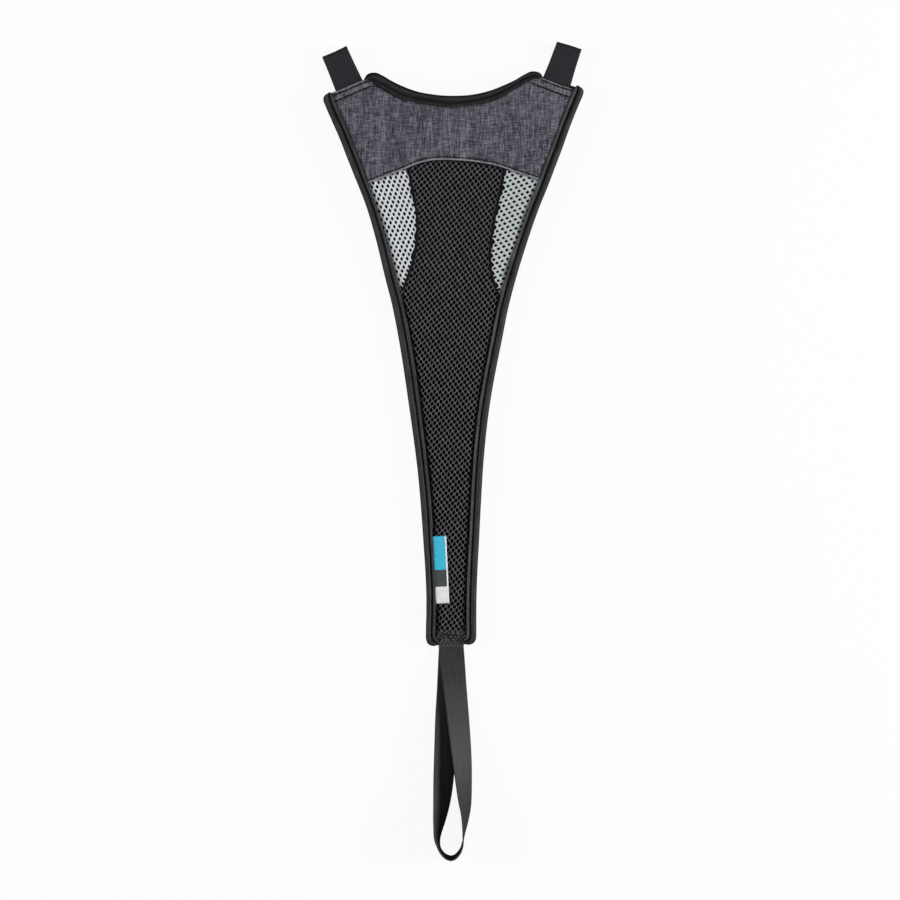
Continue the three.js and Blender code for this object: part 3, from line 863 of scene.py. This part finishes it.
tape_dyes = [(0.35, "#222224"), (0.65, "#434345")]
paler_dyes_under_lip_highlight = [(0.35, "#313133"), (0.65, "#5e5e60")]
left_tape = tape_material("knitted_polyester_tape", tape_dyes, [
    (0.0, "#404040"), (0.04, "#c0c0c0"), (0.08, "#ffffff"), (0.13, "#b8b8b8"), (0.19, "#484848"),
    (0.26, "#808080"), (0.35, "#f0f0f0"), (0.41, "#787878"), (0.46, "#202020"), (0.6, "#909090"),
])
# The right tape has a paler dye under a brighter painted highlight along its lip.
right_tape = tape_material("knitted_polyester_tape_with_painted_lip_highlight", paler_dyes_under_lip_highlight, [
    (0.0, "#2c2c2c"), (0.03, "#9c9c9c"), (0.075, "#ffffff"), (0.115, "#b0b0b0"), (0.15, "#747474"),
    (0.20, "#303030"), (0.26, "#606060"), (0.36, "#aaaaaa"), (0.41, "#747474"), (0.46, "#151515"),
    (0.6, "#696969"),
])
# The neck tape has less painted light and shade along its section.
neck_tape = tape_material("knitted_polyester_tape_less_painted_shade", tape_dyes, [
    (0.0, "#404040"), (0.04, "#909090"), (0.08, "#b0b0b0"), (0.13, "#b0b0b0"), (0.19, "#a0a0a0"),
    (0.26, "#a0a0a0"), (0.35, "#c0c0c0"), (0.41, "#606060"), (0.46, "#202020"), (0.6, "#909090"),
])

# %% The binding's section, from the lip in front round the edge to the lip behind
# Each place is in from the bib's edge and up from the bib's back. Above its middle the tape is on the front.
stitch_pitch = 3.2
binding_width = 9
tape_middle = 3
groove_place = 5.7
binding_section = [
    (9.0, 5.5), (9.1, 6.1), (8.7, 6.65), (8.0, 6.9), (7.2, 6.7), (6.4, 5.9), (5.8, 5.35), (5.1, 5.75),
    (4.3, 6.65), (3.2, 7.05), (2.0, 6.9), (1.0, 6.35), (0.3, 5.4), (0.0, 4.2), (0.0, 2.8), (0.3, 1.5),
    (1.0, 0.55), (2.2, 0.1), (4.2, 0.04), (5.2, 0.3), (5.8, 0.5), (6.4, 0.3), (7.6, 0.04), (8.8, 0.1),
    (9.0, 0.6),
]


def binding_at(distance):
    """The section with the small pull of each stitch in the groove and the unevenness of hand-fed tape."""
    pull = 0.5 + 0.5 * math.cos(2 * math.pi * distance / stitch_pitch)
    section = []
    for a, z in binding_section:
        in_groove = math.exp(-((a - groove_place) / 1.2) ** 2)
        waver = noise.noise(Vector((distance / 11, 0.35 * a, 2)))
        up = 1 if z > tape_middle else -0.4
        section.append((
            a + 0.3 * waver * fade(a, 5, 8),
            max(z + up * (0.16 * waver - 0.16 * pull * in_groove), 0.02),
        ))
    return section


def bound_edge(name, outer, inner, tape, replaced):
    """Tape between the bib's edge and the line of its lips, both given as pairs of points."""
    stations = []
    for edge, lip in zip(outer, inner):
        across = (lip - edge) / binding_width
        middle = edge.lerp(lip, 0.4)
        stations.append((Vector((*edge, lift(middle.y))), Vector((*across, 0)), Vector((0, 0, 1))))
    bm = swept(stations, binding_at)
    thicken(as_piece(name, bm, [tape], replaced), 0.75)
    return stations


def drawn_in(line, width):
    """A line moved to its left by a width that may change along it."""
    return [point + left_of(line, i) * width(point) for i, point in enumerate(line)]


# %% The side bindings, turned round the corners at both ends
straight = even_line(long_edge, stitch_pitch / 3)
side_outer = [*seat_corner[:-1], *straight, *ear_corner[1:]]


def side_lip(width):
    """The line of the lip: in from the edge by a width for each height, and on into both corners."""
    straight_lip = drawn_in(straight, lambda point: width(point.y))
    steps = len(seat_corner) - 1
    lip_start = Vector((11.6, seat_end + 5.0))
    bottom_lip = [lip_start.lerp(straight_lip[0], i / steps) for i in range(steps)]
    into_ear = (straight_lip[-1] - straight_lip[-4]).normalized() * 5.2
    top_lip = [straight_lip[-1] + into_ear * i / steps for i in range(1, steps + 1)]
    return [*bottom_lip, *straight_lip, *top_lip]


right_stations = bound_edge(
    "right_binding", side_outer, side_lip(right_tape_width), right_tape, ["binding_right"])
left_stations = bound_edge(
    "left_binding", mirrored(side_outer), mirrored(side_lip(left_tape_width)), left_tape, ["binding_left"])

# %% The neck binding
neck_outer = even_line(neck_edge[::-1], stitch_pitch / 3)
even_lip = even_line(neck_lip[::-1], stitch_pitch / 3)
last = len(neck_outer) - 1
neck_inner = [even_lip[round(i * (len(even_lip) - 1) / last)] for i in range(last + 1)]
neck_stations = bound_edge("neck_binding", neck_outer, neck_inner, neck_tape, ["binding_neck"])

# %% [markdown]
# ## Webbing
# The straps are 20 mm elastic webbing and the loop at the seat post is 20 mm flat webbing. Both have a
# rounded edge and faint ribs along their length. Webbing doesn't stretch sideways, so it is swept with a
# closed section along the line that it takes, standing on its edge where it turns.

# %% Webbing: woven polyester for the loop, and a smoother knitted elastic for the straps
def webbing_material(name, shades, roughness, relief):
    material, tree, shader = new_material(name, roughness, specular=0.2)
    place = add_node(tree, "ShaderNodeTexCoord").outputs["UV"]
    twill = add_node(tree, "ShaderNodeMapping", {
        "Vector": place, "Rotation": (0, 0, math.radians(35)), "Scale": (1 / (1.8 * mm), 1 / (0.8 * mm), 1),
    })
    diagonal = add_node(tree, "ShaderNodeTexNoise", {"Vector": twill.outputs["Vector"], "Scale": 1.0})
    lengthways = spread_noise(tree, place, (24, 1.0, 1), detail=2)
    tone = calculate(tree, "MULTIPLY", diagonal.outputs["Fac"], 0.5)
    tone = calculate(tree, "MULTIPLY_ADD", lengthways, 0.5, tone)
    dye(tree, shader, tone, shades)
    add_relief(tree, shader, tone, relief, 0.4)
    return material


webbing = webbing_material("woven_polyester_webbing", [(0.35, "#202021"), (0.65, "#363637")], 0.6, 0.35)
elastic = webbing_material("knitted_elastic_webbing", [(0.35, "#1d1d21"), (0.65, "#2a2a2f")], 0.7, 0.2)


# %% The webbing's section
def webbing_section(width, thickness, ribs):
    """A closed flat section with beaded edges and ribs on both faces, starting at one edge."""
    half = width / 2
    face = [(-half + width * i / (4 * ribs), i) for i in range(1, 4 * ribs)]
    above = [(x, thickness / 2 + 0.015 * math.cos(i * math.pi / 2)) for x, i in face]
    below = [(x, -z) for x, z in reversed(above)]
    bead = thickness / 2 * 0.72
    return [(-half, 0), (-half + 0.12, bead), *above, (half - 0.12, bead), (half, 0),
            (half - 0.12, -bead), *below, (-half + 0.12, -bead), (-half, 0)]


# %% The loop at the seat post
# Each place is across, beyond the seam, and the turn from flat in degrees
loop_places = smooth_line([
    (-0.4, -10, 0), (-0.2, 2, 0), (2.5, 31, 20), (5.4, 60, 29), (8.5, 92, 41), (10.6, 121, 57),
    (11.3, 132, 67), (10.9, 142, 77), (9.8, 152, 86), (9.0, 158.2, 90), (7.4, 163.4, 90), (3.9, 168, 90),
    (-0.2, 169.8, 90), (-5.0, 168.2, 90), (-8.8, 163.8, 89), (-10.5, 158.6, 84), (-11.1, 152, 74.5),
    (-9.6, 140.5, 61),
    (-8.2, 130, 51), (-7.1, 119, 42.5), (-6.2, 105, 35.5), (-4.9, 79, 29), (-3.7, 56, 23), (-1.8, 31, 15),
    (-0.2, 2, 0), (-0.4, -10, 0),
], steps=10)
loop_width, loop_thickness = 20, 1.0
upper_height, lower_height = 2.4, 1.1
upper_settles, lower_settles = 62, 16
loop_stations = []
for i, place in enumerate(loop_places):
    ahead = loop_places[min(i + 1, len(loop_places) - 1)]
    behind = loop_places[max(i - 1, 0)]
    run = Vector((ahead.x - behind.x, behind.y - ahead.y, 0)).normalized()
    turn = math.radians(min(max(place.z, 0), 90))
    across = Vector((-math.cos(turn), 0, math.sin(turn)))
    across = (across - run * across.dot(run)).normalized()
    through = run.cross(across)
    upper_ply = i < len(loop_places) / 2
    settles = upper_settles if upper_ply else lower_settles
    sewn = (upper_height if upper_ply else lower_height) * min(max(1 - place.y / settles, 0), 1)
    on_edge = (loop_width * across.z + loop_thickness * abs(through.z)) / 2
    loop_stations.append((Vector((place.x, seat_end - place.y, on_edge + sewn)), across, through))
section = webbing_section(loop_width, loop_thickness, 9)
bm = swept(loop_stations, lambda s: section, closed=True)
as_piece("seat_post_webbing", bm, [webbing], ["seatpost_loop"], lies=False)

# %% The two straps, folded over above the ears and back behind them
strap_width, strap_thickness = 21, 1.2
sewn_height = ear_lift + 2.8
rest_height = strap_thickness / 2 + 0.03
fold_radius = (sewn_height - rest_height) / 2
fold_start = 29.3 - strap_thickness / 2 - fold_radius
strap_run = [(-9, sewn_height), (0, sewn_height), (13, sewn_height), (fold_start, sewn_height)]
for step in range(1, 12):
    turn = math.pi / 2 - math.pi * step / 12
    drop = fold_radius * (1 - math.sin(turn))
    strap_run.append((fold_start + fold_radius * math.cos(turn), sewn_height - drop))
strap_run += [(reach, rest_height) for reach in (fold_start, 5, -15, -35, -55)]
# Each foot's place across, its lean in degrees and its width, and how much further that strap reaches.
# Sewn flat, elastic webbing is a little wider at its foot than at the fold.
feet = {"left": (-83.2, 22.6, 22.4, 2.2), "right": (82.3, -19.3, 23.6, 1.2)}
for name, (x, lean, foot_width, further) in feet.items():
    foot = Vector((x, top_edge(x), 0))
    turned = Matrix.Rotation(math.radians(lean), 3, "Z")
    stations = []
    for i, (reach_y, z) in enumerate(strap_run):
        a = strap_run[max(i - 1, 0)]
        b = strap_run[min(i + 1, len(strap_run) - 1)]
        run = Vector((0, b[0] - a[0], b[1] - a[1])).normalized()
        across = Vector((1, 0, 0))
        beyond = further * fade(reach_y, 0, 20)
        place = foot + turned @ Vector((0, reach_y + beyond, z))
        stations.append((place, turned @ across, turned @ across.cross(run)))

    def flared(distance):
        width = foot_width + (strap_width - foot_width) * fade(distance, 4, 34)
        return webbing_section(width, strap_thickness, 8)

    bm = swept(stations, flared, closed=True)
    as_piece(f"{name}_handlebar_webbing", bm, [elastic], [f"handlebar_strap_{name}"])

# %% [markdown]
# ## Hook and loop
# Each strap closes behind its ear: a patch of nylon hooks on the strap, and a longer patch of brushed
# loops on the lining. They are thin slabs with bevelled rims, and bumps stand for the pile.

# %% Patches: nylon pile, matte black
pile, tree, shader = new_material("nylon_hook_and_loop", 0.7, sheen=0.2, specular=0.3)
place = add_node(tree, "ShaderNodeTexCoord").outputs["Object"]
hooks = add_node(tree, "ShaderNodeTexVoronoi", {"Vector": place, "Scale": 1 / (1.1 * mm)}, feature="F1")
shader.inputs["Base Color"].default_value = linear("#151516")
add_relief(tree, shader, hooks.outputs["Distance"], 0.8, 0.6)

# %% The four patches
patch_thickness = 0.9
for name, x in (("left", -82.4), ("right", 83.2)):
    lean = feet[name][1]
    for kind, length, bottom in (("hook", 30, 1.5), ("loop", 40, 2.7)):
        bm = bmesh.new()
        bmesh.ops.create_cube(bm, size=1)
        bmesh.ops.scale(bm, vec=(strap_width - 3, length, patch_thickness), verts=bm.verts)
        bmesh.ops.bevel(
            bm, geom=list(bm.edges), offset=0.25, affect="EDGES", segments=2, profile=0.5, material=-1,
        )
        bmesh.ops.translate(bm, vec=(0, -52 + length / 2, bottom + patch_thickness / 2), verts=bm.verts)
        bmesh.ops.rotate(bm, verts=bm.verts, matrix=Matrix.Rotation(math.radians(lean), 3, "Z"))
        bmesh.ops.translate(bm, vec=(x, top_edge(x), 0), verts=bm.verts)
        as_piece(f"{name}_{kind}_pile", bm, [pile], [f"{kind}_patch_{name}"])

# %% [markdown]
# ## The woven label
# A damask label in three plain colours, tucked under the left binding. It is a fine grid, cut across
# where the colours change, so that each colour is a material of its own, with a pale selvedge.

# %% Label: satin-woven damask, its weft showing as fine crosswise lines
def label_material(name, colour, dark):
    material, tree, shader = new_material(name, 0.55, sheen=0.1, specular=0.4)
    place = add_node(tree, "ShaderNodeTexCoord").outputs["Object"]
    satin = spread_noise(tree, place, (5, 0.6, 2), detail=2)
    dye(tree, shader, satin, [(0.3, dark), (0.6, colour)])
    add_relief(tree, shader, satin, 0.4, 0.2)
    return material


label_colours = [
    label_material("damask_cyan", "#36bcdb", "#26aacb"),
    label_material("damask_slate", "#3f4343", "#313535"),
    label_material("damask_white", "#ebebeb", "#d4d4d4"),
]

# %% The label's sheet
label_width, label_length = 10.6, 54
slate_from, white_from = 27, 40.5
selvedge = 1.1
label_middle = Vector((-8.2, -95.8))
bm = bmesh.new()
bmesh.ops.create_grid(bm, x_segments=12, y_segments=54, size=0.5)
bmesh.ops.scale(bm, vec=(label_width, label_length, 1), verts=bm.verts)
cuts = [
    (Vector((0, label_length / 2 - slate_from, 0)), (0, 1, 0)),
    (Vector((0, label_length / 2 - white_from, 0)), (0, 1, 0)),
    (Vector((label_width / 2 - selvedge, 0, 0)), (1, 0, 0)),
]
for place, direction in cuts:
    bmesh.ops.bisect_plane(bm, geom=[*bm.verts, *bm.edges, *bm.faces], plane_co=place, plane_no=direction)
for face in bm.faces:
    spot = face.calc_center_median()
    down = label_length / 2 - spot.y
    if down > white_from or spot.x > label_width / 2 - selvedge:
        face.material_index = 2
    elif down > slate_from:
        face.material_index = 1
turned = Matrix.Rotation(math.radians(2.4), 3, "Z")
for vert in bm.verts:
    x, y, _ = vert.co
    ends = 0.35 * (fade(abs(y), label_length / 2 - 1.6, label_length / 2))
    curl = 0.25 * fade(x, 3.4, 5.3) * (1 + noise.noise(Vector((y / 12, 0, 4))))
    vert.co = turned @ vert.co + Vector((*label_middle, 0))
    vert.co.z = max(front_height(vert.co.x, vert.co.y) + 0.35, front_top + 0.7) - ends + curl
face_up(bm)
label = as_piece("damask_label", bm, label_colours, ["woven_label"])
thicken(label, 0.35)

# %% [markdown]
# ## Stitches
# The guard is held together by lockstitch in thick thread. Each stitch is a stretched ball, sunk partway
# into the cloth, placed every 3.2 mm along its seam. There are hundreds, so each has few faces.

# %% Thread: spun polyester
def thread_material(name, colour):
    material, tree, shader = new_material(name, 0.6, specular=0.2)
    place = add_node(tree, "ShaderNodeTexCoord").outputs["Object"]
    ply = spread_noise(tree, place, (0.5, 0.5, 0.5), detail=2)
    shader.inputs["Base Color"].default_value = linear(colour)
    add_relief(tree, shader, ply, 0.4, 0.2)
    return material


black_thread = thread_material("black_spun_thread", "#070708")
grey_thread = thread_material("grey_spun_thread", "#6a696f")


# %% Sew along a line
def sew(bm, line, height, length=2.5, thickness=0.75, pitch=stitch_pitch, depth=0.16):
    """Lays stitches along a flat line at a height that depends on the place."""
    spots = even_line(line, pitch)
    for a, b in zip(spots, spots[1:]):
        middle = (a + b) / 2
        run = b - a
        low, high = height(*a), height(*b)
        direction = Vector((run.x, run.y, high - low)).normalized()
        placed = Matrix.Translation((middle.x, middle.y, height(*middle) + depth))
        placed @= direction.to_track_quat("X", "Z").to_matrix().to_4x4()
        placed @= Matrix.Diagonal((length / 2, thickness / 2, thickness / 2, 1))
        bmesh.ops.create_uvsphere(bm, u_segments=7, v_segments=5, radius=1, matrix=placed)


def on_binding(stations, share):
    """A line that follows a binding's groove."""
    return [(origin + across * share).xy for origin, across, _ in stations]


# %% All the seams
seam = bmesh.new()
for stations in (left_stations, right_stations, neck_stations):
    groove = on_binding(stations, groove_place)
    sew(seam, groove, lambda x, y: lift(y) + 5.4, length=2.7, thickness=1.0)
for side, inner_ends in ((-1, (68.0, 65.0)), (1, (70.5, 61.5))):
    for room, inner_end in zip(ear_seams[side], inner_ends):
        ear_row = [
            Vector((side * x, ear_cloth(side * x) - room / ear_slope)) for x in (inner_end, 72, 80, 88, 95.5)
        ]
        sew(seam, ear_row, yoke_height, length=3.1, thickness=1.6, pitch=3.9)
above_hem = [point + Vector((0, hem_fold)) for point in hem]
hem_stitches = cut_off(above_hem, lambda x, y: abs(x) < half_width(y) - 9)
sew(seam, hem_stitches, yoke_height, length=2.4, thickness=1.2)
as_piece("binding_and_hem_stitches", seam, [black_thread])


# %% Stitches that close the seat end: knots of thread in the crushed knit, and rows of bars on the seam
def on_end(x, y):
    """The top of the crushed knit."""
    return front_height(x, y) - 0.2


def on_webbing(x, y):
    """The top of the loop's webbing beside the seam."""
    return upper_height + loop_thickness - 0.1


seam = bmesh.new()
chance = random.Random(9)
for i in range(24):
    row, step = divmod(i, 8)
    knot = Vector((-11.4 + 3.1 * step + 1.3 * (row % 2), seat_end + 4.2 + 2.6 * row))
    knot += Vector((chance.uniform(-0.8, 0.8), chance.uniform(-0.7, 0.7)))
    size = chance.uniform(0.6, 1.2)
    sew(seam, [knot, knot + Vector((0.6, 0.3))], on_end, length=1.3 * size, thickness=size, pitch=9)
for row, height in ((2.2, on_end), (0.5, on_end), (-1.2, on_webbing)):
    for step in range(7):
        foot = Vector((-9.9 + 2.9 * step, seat_end + row))
        sew(seam, [foot, foot + Vector((1.9, 0.1))], height, length=1.9, thickness=0.5, pitch=9)
as_piece("seat_end_stitches", seam, [grey_thread])

# %% [markdown]
# ## Table, light and camera
# The guard lies on a white table and is seen from straight above, from far enough away that the loop's
# standing edge shows only a little of its inside. Two soft lamps stand low at its left and right, which
# brings out every roll, fold and yarn, and a weaker one overhead fills in.

# %% The table: white to the camera, with a soft shadow, and grey to the light that it throws back
table_material, tree, shader = new_material("white_table", 0.9, specular=0.0)
to_camera = add_node(tree, "ShaderNodeLightPath").outputs["Is Camera Ray"]
dye(tree, shader, to_camera, [(0, "#5a5a5a"), (1, "#f4f4f4")])
glow = add_node(tree, "ShaderNodeEmission", {"Color": (1, 1, 1, 1), "Strength": 1.0})
share = calculate(tree, "MULTIPLY", to_camera, 0.91)
mixed = add_node(tree, "ShaderNodeMixShader", {
    "Fac": share, 1: shader.outputs["BSDF"], 2: glow.outputs["Emission"],
})
tree.links.new(mixed.outputs["Shader"], tree.nodes["Material Output"].inputs["Surface"])
bm = bmesh.new()
bmesh.ops.create_grid(bm, x_segments=1, y_segments=1, size=30)
mesh = bpy.data.meshes.new("table")
bm.to_mesh(mesh)
bm.free()
mesh.materials.append(table_material)
table = bpy.data.objects.new("table", mesh)
bpy.context.scene.collection.objects.link(table)


# %% Lamps and the room's light
def soft_lamp(name, place, size, power):
    """A square lamp that looks at the middle of the guard."""
    lamp = bpy.data.lights.new(name, "AREA")
    lamp.size = size
    lamp.energy = power
    stand = bpy.data.objects.new(name, lamp)
    stand.location = place
    stand.rotation_euler = (-Vector(place)).to_track_quat("-Z", "Y").to_euler()
    bpy.context.scene.collection.objects.link(stand)


soft_lamp("right_lamp", (2.35, 0.0, 0.72), 1.0, 78)
soft_lamp("left_lamp", (-2.35, 0.0, 0.72), 1.0, 56)
soft_lamp("top_lamp", (0.1, 0.4, 2.2), 1.0, 14)
world = bpy.data.worlds.new("room")
world.use_nodes = True
background = world.node_tree.nodes["Background"]
background.inputs["Color"].default_value = (1, 1, 1, 1)
background.inputs["Strength"].default_value = 0.08
bpy.context.scene.world = world
bpy.context.scene.view_settings.view_transform = "Standard"

# %% The camera
camera_height = 1.7
frame_width = 0.72
focus = Vector((-0.0012, 0, 0.006))
lens = bpy.data.cameras.new("camera")
lens.sensor_width = 36
lens.lens = 36 * (camera_height - focus.z) / frame_width
lens.clip_end = 50
camera = bpy.data.objects.new("camera", lens)
camera.location = (focus.x, focus.y, camera_height)
bpy.context.scene.collection.objects.link(camera)
bpy.context.scene.camera = camera
print("The lens is", round(lens.lens), "mm")
